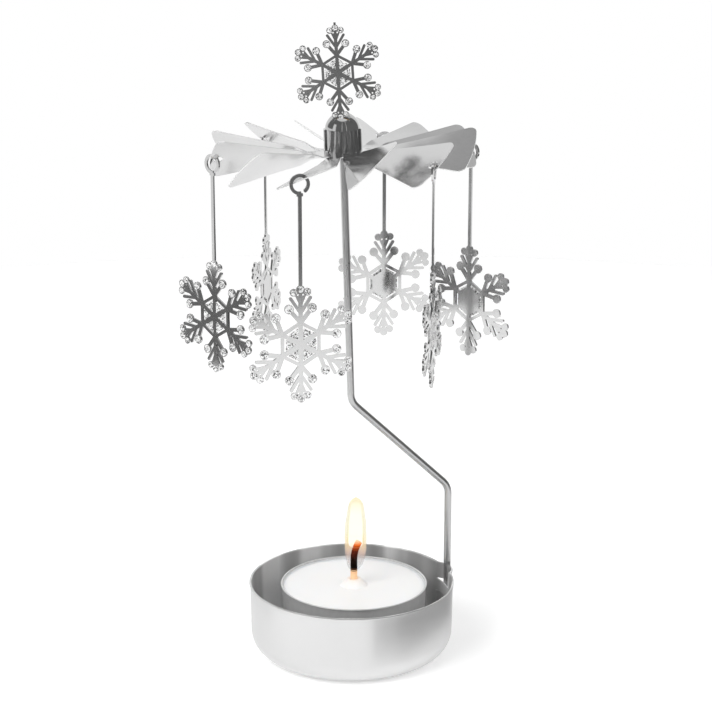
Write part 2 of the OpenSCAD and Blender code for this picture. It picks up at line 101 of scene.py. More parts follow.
# Faces that look away from the cup's axis or down are its outside
split = add(tree, "ShaderNodeSeparateXYZ", {0: place})
outwards = add(tree, "ShaderNodeCombineXYZ", {0: split.outputs[0], 1: split.outputs[1], 2: 0.0})
outwards = add(tree, "ShaderNodeVectorMath", {0: outwards.outputs[0]}, operation="NORMALIZE").outputs[0]
facing = add(tree, "ShaderNodeNewGeometry").outputs["Normal"]
facing_out = add(tree, "ShaderNodeVectorMath", {0: facing, 1: outwards}, operation="DOT_PRODUCT")
facing_out = facing_out.outputs["Value"]
facing_up = add(tree, "ShaderNodeSeparateXYZ", {0: facing}).outputs[2]
outer = add(tree, "ShaderNodeMath", {0: facing_up, 1: -0.5, 2: facing_out}, operation="MULTIPLY_ADD")
outer = add(tree, "ShaderNodeMapRange", {0: outer.outputs[0], "From Min": -0.1, "From Max": 0.3}).outputs[0]
# Draw lines run up the wall about 0.4 mm apart, and the tin has blooms of about 6 mm
stretched = add(tree, "ShaderNodeMapping", {0: place, "Scale": (2500.0, 2500.0, 60.0)}).outputs[0]
lines = add(tree, "ShaderNodeTexNoise", {"Vector": stretched, "Scale": 1.0, "Detail": 2.0}).outputs[0]
bloom = add(tree, "ShaderNodeTexNoise", {"Vector": place, "Scale": 160.0, "Detail": 3.0}).outputs[0]
# Inside, painted reflections: soft pale streaks about 8 mm wide run up the wall
swept = add(tree, "ShaderNodeMapping", {0: place, "Scale": (120.0, 120.0, 6.0)}).outputs[0]
painted_reflection_streak = add(tree, "ShaderNodeTexNoise", {"Vector": swept, "Scale": 1.0, "Detail": 1.0}).outputs[0]
painted_reflection_streak = ramp_stops(
    add(tree, "ShaderNodeValToRGB", {0: painted_reflection_streak}),
    [(0.3, "#a8a8a8"), (0.5, "#cccccc"), (0.62, "#ffffff"), (1.0, "#ffffff")],
)
# A mix node takes its share at 0 and its two colours at 6 and 7
tone = add(tree, "ShaderNodeMix", {0: outer, 6: painted_reflection_streak, 7: linear("#dcdcdc")}, data_type="RGBA").outputs[2]
clouded = add(tree, "ShaderNodeMath", {0: bloom, 1: outer}, operation="MULTIPLY").outputs[0]
tone = add(tree, "ShaderNodeMix", {0: clouded, 6: tone, 7: linear("#e0e0e0")}, data_type="RGBA").outputs[2]
gloss = add(tree, "ShaderNodeMapRange", {0: outer, "To Min": 0.26, "To Max": 0.36}).outputs[0]
gloss = add(tree, "ShaderNodeMath", {0: bloom, 1: 0.06, 2: gloss}, operation="MULTIPLY_ADD").outputs[0]
bare = add(tree, "ShaderNodeMapRange", {0: outer, "To Min": 0.42, "To Max": 1.0}).outputs[0]
relief = add(tree, "ShaderNodeBump", {"Strength": 0.08, "Distance": 0.04 * MM, "Height": lines}).outputs[0]
skin = add(
    tree,
    "ShaderNodeBsdfPrincipled",
    {"Base Color": tone, "Metallic": bare, "Roughness": gloss, "Normal": relief},
)
add(tree, "ShaderNodeOutputMaterial", {0: skin.outputs[0]})
coat_with("candle_cup", tinplate)

# Support wire
# One length of hard steel wire, bent twice, flattened at its foot and ground to a needle at its top. It is
# nickel plated and tumbled, and its foot is pushed up into the two loops of the cup.

# Plated wire is a soft mirror, with drawing marks along it 0.25 mm apart and a little cloud every 3 mm
nickel_wire, tree = new_material("steel_wire_nickel_plated")
place = add(tree, "ShaderNodeTexCoord").outputs["Object"]
cloud = add(tree, "ShaderNodeTexNoise", {"Vector": place, "Scale": 320.0, "Detail": 2.0}).outputs[0]
stretched = add(tree, "ShaderNodeMapping", {0: place, "Scale": (4000.0, 4000.0, 120.0)}).outputs[0]
marks = add(tree, "ShaderNodeTexNoise", {"Vector": stretched, "Scale": 1.0, "Detail": 1.0}).outputs[0]
tone = add(tree, "ShaderNodeMix", {0: cloud, 6: linear("#b8b8b8"), 7: linear("#c6c6c6")}, data_type="RGBA")
gloss = add(tree, "ShaderNodeMapRange", {0: cloud, "To Min": 0.24, "To Max": 0.36}).outputs[0]
relief = add(tree, "ShaderNodeBump", {"Strength": 0.1, "Distance": 0.03 * MM, "Height": marks}).outputs[0]
skin = add(
    tree,
    "ShaderNodeBsdfPrincipled",
    {"Base Color": tone.outputs[2], "Metallic": 1.0, "Roughness": gloss, "Normal": relief},
)
add(tree, "ShaderNodeOutputMaterial", {0: skin.outputs[0]})
coat_with("support_wire", nickel_wire)

# Tealight
# A loose tealight stands in the cup: a pressed aluminium foil cup full of white paraffin wax, with a braided
# cotton wick held by a tinned plate under the wax. It is lit, so the wick's end is charred and glows.

# Pale foil with creases of the pressing about 1.7 mm apart, which break its reflection
foil, tree = new_material("aluminium_foil_pressed")
place = add(tree, "ShaderNodeTexCoord").outputs["Object"]
crease = add(tree, "ShaderNodeTexNoise", {"Vector": place, "Scale": 600.0, "Detail": 3.0}).outputs[0]
relief = add(tree, "ShaderNodeBump", {"Strength": 0.2, "Distance": 0.1 * MM, "Height": crease}).outputs[0]
tone = add(tree, "ShaderNodeMix", {0: crease, 6: linear("#cccccc"), 7: linear("#e0e0e0")}, data_type="RGBA")
skin = add(
    tree,
    "ShaderNodeBsdfPrincipled",
    {"Base Color": tone.outputs[2], "Metallic": 0.5, "Roughness": 0.36, "Normal": relief},
)
add(tree, "ShaderNodeOutputMaterial", {0: skin.outputs[0]})
coat_with("tealight_cup", foil)

# Paraffin is cloudy white and lets light in, so it looks soft. The flame's light on it is painted into its
# colour, warmer near the wick
wax_low, wax_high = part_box("tealight_wax")
axis_x = (wax_low.x + wax_high.x) / 2
wax_top = 17.7 * MM
flame_light_reach = 3.4 * MM
paraffin, tree = new_material("paraffin_wax_cast")
place = add(tree, "ShaderNodeTexCoord").outputs["Object"]
from_wick = add(tree, "ShaderNodeMapping", {0: place, "Location": (-axis_x, 0.0, 0.0)}).outputs[0]
level = add(tree, "ShaderNodeVectorMath", {0: from_wick, 1: (1.0, 1.0, 0.0)}, operation="MULTIPLY")
reach = add(tree, "ShaderNodeVectorMath", {0: level.outputs[0]}, operation="LENGTH").outputs["Value"]
glow = add(tree, "ShaderNodeMapRange", {0: reach, "From Max": flame_light_reach}).outputs[0]
# Painted light of the flame: a warm pool around the wick, fading out at the reach
painted_flame_light = ramp_stops(
    add(tree, "ShaderNodeValToRGB", {0: glow}),
    [(0.0, "#f6d9bd"), (0.4, "#faf0e6"), (1.0, "#fcfcfc")],
)
# Its grain is about 2 mm
grain = add(tree, "ShaderNodeTexNoise", {"Vector": place, "Scale": 450.0, "Detail": 4.0}).outputs[0]
relief = add(tree, "ShaderNodeBump", {"Strength": 0.15, "Distance": 0.2 * MM, "Height": grain}).outputs[0]
gloss = add(tree, "ShaderNodeMapRange", {0: grain, "To Min": 0.3, "To Max": 0.55}).outputs[0]
skin = add(
    tree,
    "ShaderNodeBsdfPrincipled",
    {
        "Base Color": painted_flame_light,
        "Roughness": gloss,
        "IOR": 1.44,
        "Subsurface Weight": 0.6,
        "Subsurface Radius": (1.0, 0.9, 0.8),
        "Subsurface Scale": 2 * MM,
        "Normal": relief,
    },
)
add(tree, "ShaderNodeOutputMaterial", {0: skin.outputs[0]})
coat_with("tealight_wax", paraffin)

# Thin tinned plate, bright with spots of 2 mm, and seen only when the wax has melted clear
plate_tin, tree = new_material("tinplate_thin_bright")
place = add(tree, "ShaderNodeTexCoord").outputs["Object"]
spots = add(tree, "ShaderNodeTexNoise", {"Vector": place, "Scale": 500.0, "Detail": 2.0}).outputs[0]
tone = add(tree, "ShaderNodeMix", {0: spots, 6: linear("#b8b8bc"), 7: linear("#d0d0d2")}, data_type="RGBA")
skin = add(
    tree,
    "ShaderNodeBsdfPrincipled",
    {"Base Color": tone.outputs[2], "Metallic": 1.0, "Roughness": 0.25},
)
add(tree, "ShaderNodeOutputMaterial", {0: skin.outputs[0]})
coat_with("wick_sustainer", plate_tin)

# Braided cotton, waxed at the foot, charred black higher up, with an ember at its bent tip. Its strands
# cross about every 0.45 mm
wick_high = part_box("tealight_wick")[1]
cotton, tree = new_material("cotton_wick_charred")
place = add(tree, "ShaderNodeTexCoord").outputs["Object"]
height = add(tree, "ShaderNodeSeparateXYZ", {0: place}).outputs[2]
burnt = add(tree, "ShaderNodeMapRange", {0: height, "From Min": wax_top, "From Max": wick_high.z}).outputs[0]
braid = add(
    tree,
    "ShaderNodeTexWave",
    {"Vector": place, "Scale": 700.0, "Distortion": 2.0},
    bands_direction="Z",
).outputs["Fac"]
burnt = add(tree, "ShaderNodeMath", {0: braid, 1: 0.05, 2: burnt}, operation="MULTIPLY_ADD").outputs[0]
char = ramp_stops(
    add(tree, "ShaderNodeValToRGB", {0: burnt}),
    [
        (0.0, "#f0d2b4"), (0.33, "#ecc49c"), (0.38, "#3a1c12"), (0.42, "#0c0807"), (0.62, "#120806"),
        (1.0, "#6a2410"),
    ],
)
# The waxed foot's tan glow is painted light of the flame; only the glow at the bent tip is the ember's own
ember_and_painted_flame_light = ramp_stops(
    add(tree, "ShaderNodeValToRGB", {0: burnt}),
    [
        (0.0, "#9a7a5c"), (0.33, "#84603c"), (0.4, "#000000"), (0.6, "#0c0300"), (0.8, "#34120a"),
        (0.9, "#b04c18"), (0.96, "#f0701c"), (1.0, "#ff9440"),
    ],
)
relief = add(tree, "ShaderNodeBump", {"Strength": 0.6, "Distance": 0.2 * MM, "Height": braid}).outputs[0]
skin = add(
    tree,
    "ShaderNodeBsdfPrincipled",
    {
        "Base Color": char,
        "Roughness": 0.9,
        "Specular IOR Level": 0.08,
        "Normal": relief,
        "Emission Color": ember_and_painted_flame_light,
        "Emission Strength": 1.0,
    },
)
add(tree, "ShaderNodeOutputMaterial", {0: skin.outputs[0]})
coat_with("tealight_wick", cotton)

# Flame
# A calm candle flame over the bent wick, about 20 mm high: a clear bluish foot, an orange zone over the wick
# and a white-yellow body. Three nested shells stand for its glow, which is thinnest towards its edge.

# Heights in millimetres, with the place of the flame's middle in x and with its radius
flame_axis = [(21.6, 0.58), (24.6, 0.95), (27.3, 1.05), (30.1, 1.02), (35.7, 1.1), (42.1, 1.16)]
flame_shape = [
    (21.6, 0.9), (22.4, 1.6), (23.8, 2.14), (25.6, 2.55), (27.4, 2.8), (31.1, 2.88),
    (34.7, 2.75), (38.3, 2.25), (40.1, 1.95), (41.0, 1.5), (41.55, 1.1), (42.1, 0.2),
]
flame_foot, flame_tip = flame_shape[0][0], flame_shape[-1][0]
# In front of the wick the shells are clear up to a height, so that it shows, and both borders are soft
clear_front, clear_back = -1.2, 0.6
clear_up_to, closed_from = 29.6, 32.2


def between(table, height):
    """Value of a table at a height, half straight and half eased from row to row."""
    for (low, a), (high, b) in zip(table, table[1:]):
        if height <= high:
            share = (height - low) / (high - low)
            return a + (b - a) * (3 * share * share - 2 * share**3) * 0.5 + (b - a) * share * 0.5
    return table[-1][1]


def circle(count, offset=0.0):
    """Corners of a circle of radius 1, moved on by a share of their spacing."""
    turns = (math.pi * (k + offset) / (count / 2) for k in range(count))
    return [(math.cos(turn), math.sin(turn)) for turn in turns]


def new_piece(name, verts, faces, material):
    mesh = bpy.data.meshes.new(name)
    mesh.from_pydata(verts, [], faces)
    mesh.materials.append(material)
    piece = bpy.data.objects.new(name, mesh)
    bpy.context.scene.collection.objects.link(piece)
    return piece


def flame_shell(name, share, low, high, strength, colours, cover):
    """Shell with a share of the flame's radius, from low to high in millimetres."""
    # Burning vapour gives light and hides little of what is behind it, by the levels in cover
    burning, tree = new_material(name + "_burning_wax_vapour")
    place = add(tree, "ShaderNodeTexCoord").outputs["Object"]
    split = add(tree, "ShaderNodeSeparateXYZ", {0: place})
    depth, height = split.outputs[1], split.outputs[2]
    ends = {"From Min": flame_foot * MM, "From Max": flame_tip * MM}
    rise = add(tree, "ShaderNodeMapRange", {0: height, **ends}).outputs[0]
    colour = ramp_stops(add(tree, "ShaderNodeValToRGB", {0: rise}), colours)
    thick = ramp_stops(add(tree, "ShaderNodeValToRGB", {0: rise}), cover)
    thick = add(tree, "ShaderNodeSeparateColor", {0: thick}).outputs[0]
    ends = {"From Min": clear_front * MM, "From Max": clear_back * MM}
    behind = add(tree, "ShaderNodeMapRange", {0: depth, **ends}).outputs[0]
    ends = {"From Min": clear_up_to * MM, "From Max": closed_from * MM}
    above = add(tree, "ShaderNodeMapRange", {0: height, **ends}).outputs[0]
    closed = add(tree, "ShaderNodeMath", {0: behind, 1: above}, operation="MAXIMUM").outputs[0]
    thick = add(tree, "ShaderNodeMath", {0: thick, 1: closed}, operation="MULTIPLY").outputs[0]
    light = add(
        tree,
        "ShaderNodeBsdfPrincipled",
        {
            "Base Color": linear("#000000"),
            "Roughness": 1.0,
            "Specular IOR Level": 0.0,
            "Emission Color": colour,
            "Emission Strength": strength,
            "Alpha": thick,
        },
    )
    add(tree, "ShaderNodeOutputMaterial", {0: light.outputs[0]})

    turns, rows = 40, 48
    verts, faces = [], []
    for row in range(rows + 1):
        z = low + (high - low) * row / rows
        # Both ends are rounded off to a blunt 0.01 mm
        rounding = math.sqrt(max(0.0, 1 - ((z - low) / (high - low) * 2 - 1) ** 20))
        r = between(flame_shape, z) * share * rounding + 0.01
        middle = between(flame_axis, z)
        verts += [((middle + r * x) * MM, r * y * MM, z * MM) for x, y in circle(turns)]
    for row in range(rows):
        for turn in range(turns):
            a, b = row * turns + turn, row * turns + (turn + 1) % turns
            faces.append((a, b, b + turns, a + turns))
    faces.append(tuple(reversed(range(turns))))
    faces.append(tuple(range(rows * turns, (rows + 1) * turns)))
    shell = new_piece(name, verts, faces, burning)
    shell.data.polygons.foreach_set("use_smooth", [True] * len(faces))
    shell.visible_shadow = False
    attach(shell, "tealight")


flame_shell(
    "flame_halo", 1.0, flame_foot, flame_tip, 1.0,
    [
        (0.0, "#8c8c94"), (0.14, "#b0aaac"), (0.22, "#dec2b8"), (0.32, "#f6dcb8"), (0.43, "#f8e6b0"),
        (0.55, "#f2ecc4"), (0.8, "#f5efcf"), (1.0, "#faecb8"),
    ],
    [(0.0, 0.3), (0.14, 0.35), (0.22, 0.6), (0.32, 0.7), (0.43, 0.5), (0.5, 0.4), (0.9, 0.5), (1.0, 0.6)],
)
flame_shell(
    "flame_body", 0.84, 22.6, 41.3, 1.0,
    [
        (0.0, "#b4b2b6"), (0.2, "#ecccb8"), (0.3, "#f8dab0"), (0.42, "#fbe6a4"), (0.54, "#fbf3cc"),
        (1.0, "#fdf8dc"),
    ],
    [(0.0, 0.1), (0.15, 0.2), (0.28, 0.5), (0.4, 0.4), (0.5, 0.3), (0.95, 0.4), (1.0, 0.3)],
)
flame_shell(
    "flame_core", 0.64, 28.2, 40.6, 1.7,
    [(0.0, "#f8e8b4"), (0.24, "#fbf2d0"), (0.36, "#ffffff"), (1.0, "#ffffff")],
    [(0.0, 0.0), (0.16, 0.0), (0.28, 0.18), (0.42, 0.55), (0.8, 0.55), (1.0, 0.1)],
)

# Hub
# A domed cap drawn from steel and bright chromed, with a brass seat pressed into its crown that turns on the
# wire's needle. An eyelet pushed up through the rotor grips the cap with six fingers.

# Chrome mirrors the room with hardly any blur, in hard dark and light stripes. Its haze is about 1.5 mm
chrome, tree = new_material("steel_bright_chromed")
place = add(tree, "ShaderNodeTexCoord").outputs["Object"]
haze = add(tree, "ShaderNodeTexNoise", {"Vector": place, "Scale": 700.0, "Detail": 2.0}).outputs[0]
tone = add(tree, "ShaderNodeMix", {0: haze, 6: linear("#b4b4b4"), 7: linear("#c4c4c4")}, data_type="RGBA")
gloss = add(tree, "ShaderNodeMapRange", {0: haze, "To Min": 0.06, "To Max": 0.14}).outputs[0]
skin = add(
    tree,
    "ShaderNodeBsdfPrincipled",
    {"Base Color": tone.outputs[2], "Metallic": 1.0, "Roughness": gloss},
)
add(tree, "ShaderNodeOutputMaterial", {0: skin.outputs[0]})
coat_with("hub_cap", chrome)
coat_with("hub_sleeve", chrome)

# Turned brass shows fine rings about 0.1 mm apart, drawn at 0.4 mm so that they show
brass, tree = new_material("brass_turned")
place = add(tree, "ShaderNodeTexCoord").outputs["Object"]
rings = add(tree, "ShaderNodeTexWave", {"Vector": place, "Scale": 800.0}, bands_direction="Z").outputs["Fac"]
tone = add(tree, "ShaderNodeMix", {0: rings, 6: linear("#b08a45"), 7: linear("#c9a45c")}, data_type="RGBA")
relief = add(tree, "ShaderNodeBump", {"Strength": 0.2, "Distance": 0.02 * MM, "Height": rings}).outputs[0]
skin = add(
    tree,
    "ShaderNodeBsdfPrincipled",
    {"Base Color": tone.outputs[2], "Metallic": 1.0, "Roughness": 0.22, "Normal": relief},
)
add(tree, "ShaderNodeOutputMaterial", {0: skin.outputs[0]})
coat_with("pivot_seat", brass)

# Rotor
# Twelve blades cut and twisted out of one disc of thin steel strip, rolled bright. Each blade turns on the
# neck that joins it to the flat middle, and every second one has a hole for a snowflake's hook.

# Rolled strip is a mirror with a slight blur, so a blade turns pale or dark as a whole. Its rolling marks
# lie in one direction about 0.5 mm apart, and its tone changes a little over 10 mm
strip, tree = new_material("steel_strip_rolled_bright")
place = add(tree, "ShaderNodeTexCoord").outputs["Object"]
stretched = add(tree, "ShaderNodeMapping", {0: place, "Scale": (120.0, 2000.0, 2000.0)}).outputs[0]
rolled = add(tree, "ShaderNodeTexNoise", {"Vector": stretched, "Scale": 1.0, "Detail": 2.0}).outputs[0]
cloud = add(tree, "ShaderNodeTexNoise", {"Vector": place, "Scale": 90.0, "Detail": 1.0}).outputs[0]
tone = add(tree, "ShaderNodeMix", {0: cloud, 6: linear("#c8c8c8"), 7: linear("#d4d4d4")}, data_type="RGBA")
gloss = add(tree, "ShaderNodeMapRange", {0: rolled, "To Min": 0.1, "To Max": 0.2}).outputs[0]
# The cut edges are torn and matt instead of bright, and their pale tone is a painted highlight
cut_edge_with_painted_highlight = add(tree, "ShaderNodeAttribute", attribute_name="cut_edge").outputs["Fac"]
bare = add(tree, "ShaderNodeMapRange", {0: cut_edge_with_painted_highlight, "To Min": 1.0, "To Max": 0.2}).outputs[0]
tone = add(tree, "ShaderNodeMix", {0: cut_edge_with_painted_highlight, 6: tone.outputs[2], 7: linear("#e4e4e4")}, data_type="RGBA")
skin = add(
    tree,
    "ShaderNodeBsdfPrincipled",
    {"Base Color": tone.outputs[2], "Metallic": bare, "Roughness": gloss},
)
add(tree, "ShaderNodeOutputMaterial", {0: skin.outputs[0]})

# The flat cut in millimetres: the strip's thickness, the radii of the bore, of the flat middle and of the
# blades' tips, the radius of their corners and the width of the slits, then a hole's place and its radius
STRIP, BORE, FLAT, TIP, CORNER, SLIT = 0.3, 4.81, 6.8, 33.4, 2.2, 0.6
HOLE_AT, HOLE = 31.4, 1.2
HALF_SECTOR = math.radians(15)
# A blade's neck takes most of its twist, and its bend up or down is spread over 4 mm from the flat middle
NECK, NECK_TWIST, BEND = 6.0, 0.86, 4.0
# The source bends a blade at this share of the flat middle
BEND_ROOT = 0.85
# Sheet bent by hand is never even: waves 0.09 mm high, about 9 mm apart, that grow from 11 to 17 mm out
WAVE, WAVE_TURNS, WAVE_FROM, WAVE_FULL = 0.09, 0.11, 11, 17
# Spacing of the points inside a blade, and radii of the rings of faces in the flat middle
GRID = 0.85
MIDDLE_RINGS = (FLAT, 6.2, 5.5, BORE)
# Every blade is bent by hand: its turn and rise as in the solid, and its pitch, in degrees
blades = [
    (193, 1.2, 41), (223, 0.2, 37), (254, -1.0, 21), (283, 4.1, 42), (313, 0.8, 34), (343, 3.5, 32),
    (13, -0.6, 34), (43, -2.9, 34), (73, -2.1, 39), (102, -1.0, 35), (131, 0.8, 40), (163, 2.2, 38),
]

# The joint is at the needle's tip, 8.87 mm above the middle of the sheet
NEEDLE_TIP = 8.87
joint_at = {joint["name"]: joint for joint in frame["joints"]}
spin_axis = Vector(joint_at["rotor_spin"]["axis"]).normalized()
upright = Vector((0, 0, 1)).rotation_difference(spin_axis).to_matrix().to_4x4()
on_rotor = Matrix.Translation(joint_at["rotor_spin"]["pos_m"]) @ upright
on_rotor = on_rotor @ Matrix.Translation((0, 0, -NEEDLE_TIP * MM))


def half_angle(r):
    """Half of the angle that a blade takes at a radius, between its slits and inside its corners."""
    centre = TIP - CORNER
    slit = math.asin(SLIT / 2 / r)
    if r <= math.sqrt(centre**2 - CORNER**2):
        return HALF_SECTOR - slit
    lead = math.acos(min(1.0, (r * r + centre**2 - CORNER**2) / (2 * r * centre)))
    return HALF_SECTOR - slit * (1 - (r - centre) / CORNER) - math.asin(CORNER / centre) + lead


def ease(t):
    t = min(max(t, 0.0), 1.0)
    return t * t * (3 - 2 * t)


def bent(blade, r, a, off):
    """Place of a point of the flat sheet on the bent blade, off millimetres from its middle."""
    turn, rise, pitch = blade

    def middle(r, a):
        reach = max(r - FLAT, 0.0)
        share = NECK_TWIST * ease(reach / NECK) + (1 - NECK_TWIST) * reach / (TIP - FLAT)
        twist = math.radians(pitch) * share
        x, y = r * math.cos(a), r * math.sin(a)
        # The bend starts past the flat middle, so it is a little sharper to meet the hole where it is
        slope = math.radians(rise) * (HOLE_AT - BEND_ROOT * FLAT) / (HOLE_AT - FLAT - BEND / 2)
        lift = slope * (reach - BEND / 2 * ease(reach / BEND))
        wave = noise.noise(Vector((x * WAVE_TURNS + turn, y * WAVE_TURNS, 0.5)))
        lift += WAVE * wave * ease((r - WAVE_FROM) / (WAVE_FULL - WAVE_FROM))
        return Vector((x, y * math.cos(twist), y * math.sin(twist) + lift))

    step = 0.02
    along = middle(r + step, a) - middle(r - step, a)
    across = middle(r, a + step / r) - middle(r, a - step / r)
    spot = middle(r, a) + along.cross(across).normalized() * off
    return Matrix.Rotation(math.radians(turn), 3, "Z") @ spot


def blade_sheet(hung):
    """Flat triangles of one blade between its slits, with the hole of a hung snowflake left out."""
    root = [(FLAT, half_angle(FLAT) * k / 3) for k in range(-3, 4)]
    rows = [FLAT + (TIP - CORNER - FLAT) * k / 30 for k in range(1, 30)]
    rows += [TIP - CORNER * (1 - math.sin(math.pi / 2 * k / 10)) for k in range(0, 10)]
    side = [(r, half_angle(r)) for r in rows]
    tip = [(TIP, half_angle(TIP) * (1 - k / 8)) for k in range(0, 17)]
    loop = root + side + tip + [(r, -a) for r, a in reversed(side)]
    points = [Vector((r * math.cos(a), r * math.sin(a))) for r, a in loop]
    edges = [(k, (k + 1) % len(loop)) for k in range(len(loop))]
    # The hole has a ring of points round it, and the grid's points keep clear of both
    centre = Vector((HOLE_AT, 0))
    clear = 0.0
    if hung:
        first, count = len(points), 36
        points += [centre + HOLE * Vector(corner) for corner in circle(count)]
        edges += [(first + k, first + (k + 1) % count) for k in range(count)]
        points += [centre + 1.35 * HOLE * Vector(corner) for corner in circle(28, 0.5)]
        clear = 1.7 * HOLE
    for r in (FLAT + GRID * k for k in range(1, 31)):
        full = half_angle(r)
        count = max(2, round(2 * full * r / GRID))
        for k in range(1, count):
            a = full * (2 * k / count - 1)
            point = Vector((r * math.cos(a), r * math.sin(a)))
            if r < TIP - 0.5 and (point - centre).length > clear:
                points.append(point)
    points, _, triangles, *_ = geometry.delaunay_2d_cdt(points, edges, [], 1, 1e-6)
    kept = []
    for tri in triangles:
        middle = sum((points[k] for k in tri), Vector((0, 0))) / 3
        if not (hung and (middle - centre).length < HOLE * 0.98):
            kept.append(tuple(tri))
    return [(p.length, math.atan2(p.y, p.x)) for p in points], kept


top, under, faces, spots = [], [], [], {}


def vertex(blade, r, a):
    """Number of a point of the sheet, the same one where two pieces of the sheet meet."""
    high = bent(blade, r, a, STRIP / 2)
    key = tuple(round(c, 4) for c in high)
    if key not in spots:
        spots[key] = len(top)
        top.append(high)
        under.append(bent(blade, r, a, -STRIP / 2))
    return spots[key]


for i, blade in enumerate(blades):
    flat, triangles = blade_sheet(hung=i % 2 == 0)
    index = [vertex(blade, r, a) for r, a in flat]
    faces += [tuple(index[k] for k in tri) for tri in triangles]
# Flat middle, whose outer edge takes the roots of the blades and the ends of the slits
roots = []
full = half_angle(FLAT)
for i, blade in enumerate(blades):
    roots += [(blade, full * k / 3) for k in range(-3, 4)]
    gap = math.radians((blades[(i + 1) % 12][0] - blade[0]) % 360) - 2 * full
    roots.append((blade, full + gap / 2))
rings = [[vertex(blade, r, a) for blade, a in roots] for r in MIDDLE_RINGS]
for outer_ring, inner_ring in zip(rings, rings[1:]):
    for k in range(len(roots)):
        n = (k + 1) % len(roots)
        faces.append((outer_ring[k], outer_ring[n], inner_ring[n], inner_ring[k]))
# The cut edges join the top to the underside wherever a side of a face has no neighbour
count = len(top)
used = dict.fromkeys(pair for face in faces for pair in zip(face, face[1:] + face[:1]))
sides = [(b, a, a + count, b + count) for a, b in used if (b, a) not in used]
lower = [tuple(k + count for k in reversed(face)) for face in faces]
verts = [on_rotor @ (v * MM) for v in top + under]
rotor_sheet = new_piece("rotor_sheet", verts, faces + lower + sides, strip)
cut = rotor_sheet.data.attributes.new("cut_edge", "FLOAT", "FACE")
cut.data.foreach_set("value", [0.0] * (2 * len(faces)) + [1.0] * len(sides))
rotor_sheet.data.polygons.foreach_set("use_smooth", [True] * len(rotor_sheet.data.polygons))
rotor_sheet.data.set_sharp_from_angle(angle=math.radians(40))
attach(rotor_sheet, "rotor")
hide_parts("rotor")

# Snowflakes
# Seven snowflakes etched from steel sheet and nickel plated. Six hang by the open hook at the end of their
# stem, and the one on top stands in a slot of the cap.

# Plated etched sheet is a near mirror, so a whole snowflake turns dark or white. It is mottled every 8 mm
nickel_sheet, tree = new_material("steel_sheet_nickel_plated")
place = add(tree, "ShaderNodeTexCoord").outputs["Object"]
mottle = add(tree, "ShaderNodeTexNoise", {"Vector": place, "Scale": 120.0, "Detail": 2.0}).outputs[0]
tone = add(tree, "ShaderNodeMix", {0: mottle, 6: linear("#c4c4c4"), 7: linear("#d2d2d2")}, data_type="RGBA")
gloss = add(tree, "ShaderNodeMapRange", {0: mottle, "To Min": 0.08, "To Max": 0.14}).outputs[0]
relief = add(tree, "ShaderNodeBump", {"Strength": 0.05, "Distance": 0.1 * MM, "Height": mottle}).outputs[0]
skin = add(
    tree,
    "ShaderNodeBsdfPrincipled",
    {"Base Color": tone.outputs[2], "Metallic": 1.0, "Roughness": gloss, "Normal": relief},
)
add(tree, "ShaderNodeOutputMaterial", {0: skin.outputs[0]})
for name in ["finial_snowflake"] + ["snowflake_%d" % i for i in range(1, 7)]:
    coat_with(name, nickel_sheet)

# Glitter
# Crushed foil glitter is stuck with clear varnish on the front of every snowflake, on the discs at the ends
# of its branches and on the six triangles of its middle plate.

# Each chip is about 0.25 mm, and its tone is painted dark or white from one to the next: painted glints that
# make the glitter sparkle
glitter_foil, tree = new_material("foil_glitter_in_varnish")
place = add(tree, "ShaderNodeTexCoord").outputs["Object"]
chips = add(tree, "ShaderNodeTexVoronoi", {"Vector": place, "Scale": 4200.0}).outputs["Color"]
chips = add(tree, "ShaderNodeSeparateColor", {0: chips}).outputs[0]
chips = add(tree, "ShaderNodeValToRGB", {0: chips})
chips.color_ramp.interpolation = "CONSTANT"
tone = ramp_stops(chips, [(0.0, "#484848"), (0.24, "#a8a8a8"), (0.4, "#f0f0f0"), (0.65, "#ffffff")])
skin = add(
    tree,
    "ShaderNodeBsdfPrincipled",
    {"Base Color": tone, "Metallic": 0.15, "Roughness": 0.2, "Coat Weight": 0.4, "Coat Roughness": 0.1},
)
add(tree, "ShaderNodeOutputMaterial", {0: skin.outputs[0]})

SHEET = 0.5 * MM
# Discs as shares of the snowflake's radius: along the branch, to its side, and the disc's own radius
disc_places = [
    (0.601, 0.1975, 0.08), (0.601, -0.1975, 0.08), (0.925, 0.0, 0.064),
    (0.875, 0.116, 0.06), (0.875, -0.116, 0.06),
]
# Triangles of the middle plate, as shares of that radius: how far out they start, and their side
PLATE_START, PLATE_SIDE = 0.05, 0.2
# Varnish covers this share of a disc, and chips lie on it up to another
VARNISHED, CHIPS_UP_TO = 0.86, 0.93
# Rows of the varnish's cushion, by their share of its outline and their height over the sheet in mm
CUSHION = ((1.0, -0.02), (0.97, 0.05), (0.6, 0.09))
# Smallest and largest chip in millimetres, and how many lie on a disc of 1.2 mm radius and on a triangle
CHIP = (0.13, 0.24)
FULL_DISC, DISC_CHIPS, PLATE_CHIPS = 1.2 * MM, 30, 50


def chip(verts, faces, chance, x, y):
    """A low pyramid of three sides, tilted and turned by chance."""
    first = len(verts)
    size = chance.uniform(*CHIP) * MM
    lift = SHEET / 2 + chance.uniform(-0.1, 0.4) * size
    turn = chance.uniform(0, 2 * math.pi)
    tip = (chance.uniform(-0.35, 0.35) * size, chance.uniform(-0.35, 0.35) * size)
    for k in range(3):
        a = turn + k * 2 * math.pi / 3
        dip = chance.uniform(-0.3, 0.1) * size
        verts.append((x + size * math.cos(a), y + size * math.sin(a), lift + dip))
    verts.append((x + tip[0], y + tip[1], lift + 0.25 * size))
    corners = ((0, 1, 3), (1, 2, 3), (2, 0, 3), (2, 1, 0))
    faces.extend((first + a, first + b, first + c) for a, b, c in corners)


